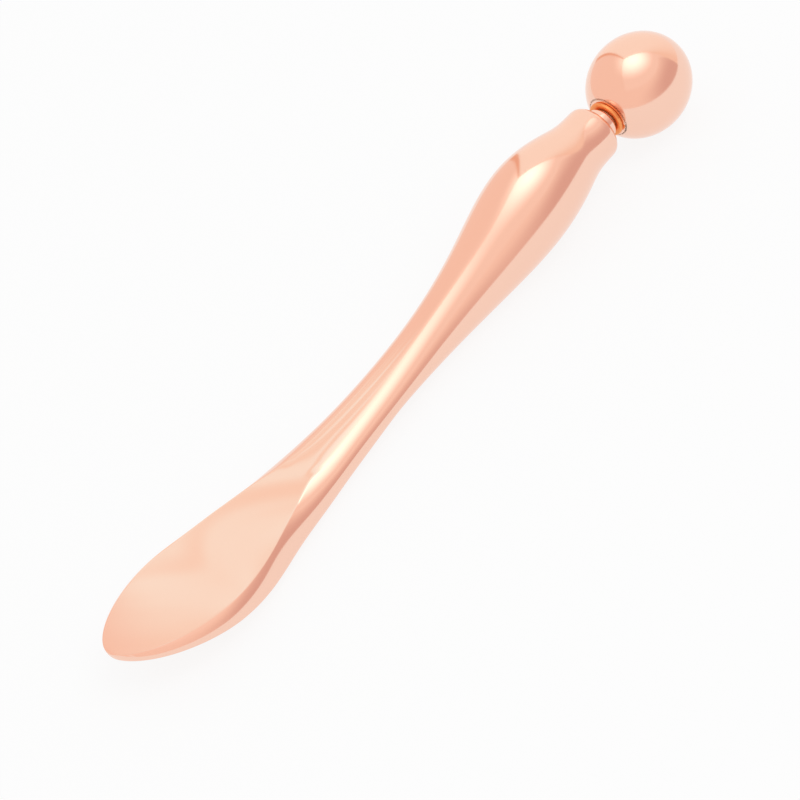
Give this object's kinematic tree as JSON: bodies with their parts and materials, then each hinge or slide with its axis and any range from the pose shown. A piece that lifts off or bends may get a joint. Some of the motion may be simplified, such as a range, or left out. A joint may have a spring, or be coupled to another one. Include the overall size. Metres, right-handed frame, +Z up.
{
  "type": "eye massager pen",
  "caption": "Rose-gold plated eye massage wand: a spatula blade on a waisted grip, with a ball that spins on a stud at the other end.",
  "frame": {"origin": "on the table under the middle of the wand's box, with the wand lying on its ball and on the belly of its blade", "axes": "+X along the wand towards the ball, +Z up out of the face of the blade, Y across the blade"},
  "size_m": [0.1198, 0.0172, 0.015],
  "materials": {
    "rose_plate": "polished rose-gold plate on zinc alloy",
    "collar_plate": "polished rose-gold plate",
    "ball_plate": "polished rose-gold plate on zinc alloy",
    "ring_copper": "polished copper",
    "sleeve_bronze": "turned bronze",
    "stud_steel": "turned steel",
    "clip_steel": "spring steel",
    "washer_nylon": "natural nylon"
  },
  "bodies": {
    "handle": {"spatula_handle": "rose_plate", "neck_collar": "collar_plate", "axle_stud": "stud_steel", "outer_thrust_washer": "washer_nylon", "inner_thrust_washer": "washer_nylon", "retaining_clip": "clip_steel"},
    "roller": {"ball": "ball_plate", "mouth_ring": "ring_copper", "bearing_sleeve": "sleeve_bronze"}
  },
  "joints": [
    {"name": "ball_spin", "type": "hinge", "parent": "handle", "child": "roller", "pos_m": [0.05175, 0, 0.00749], "axis": [0.9998, 0, -0.0182], "continuous": true}
  ]
}
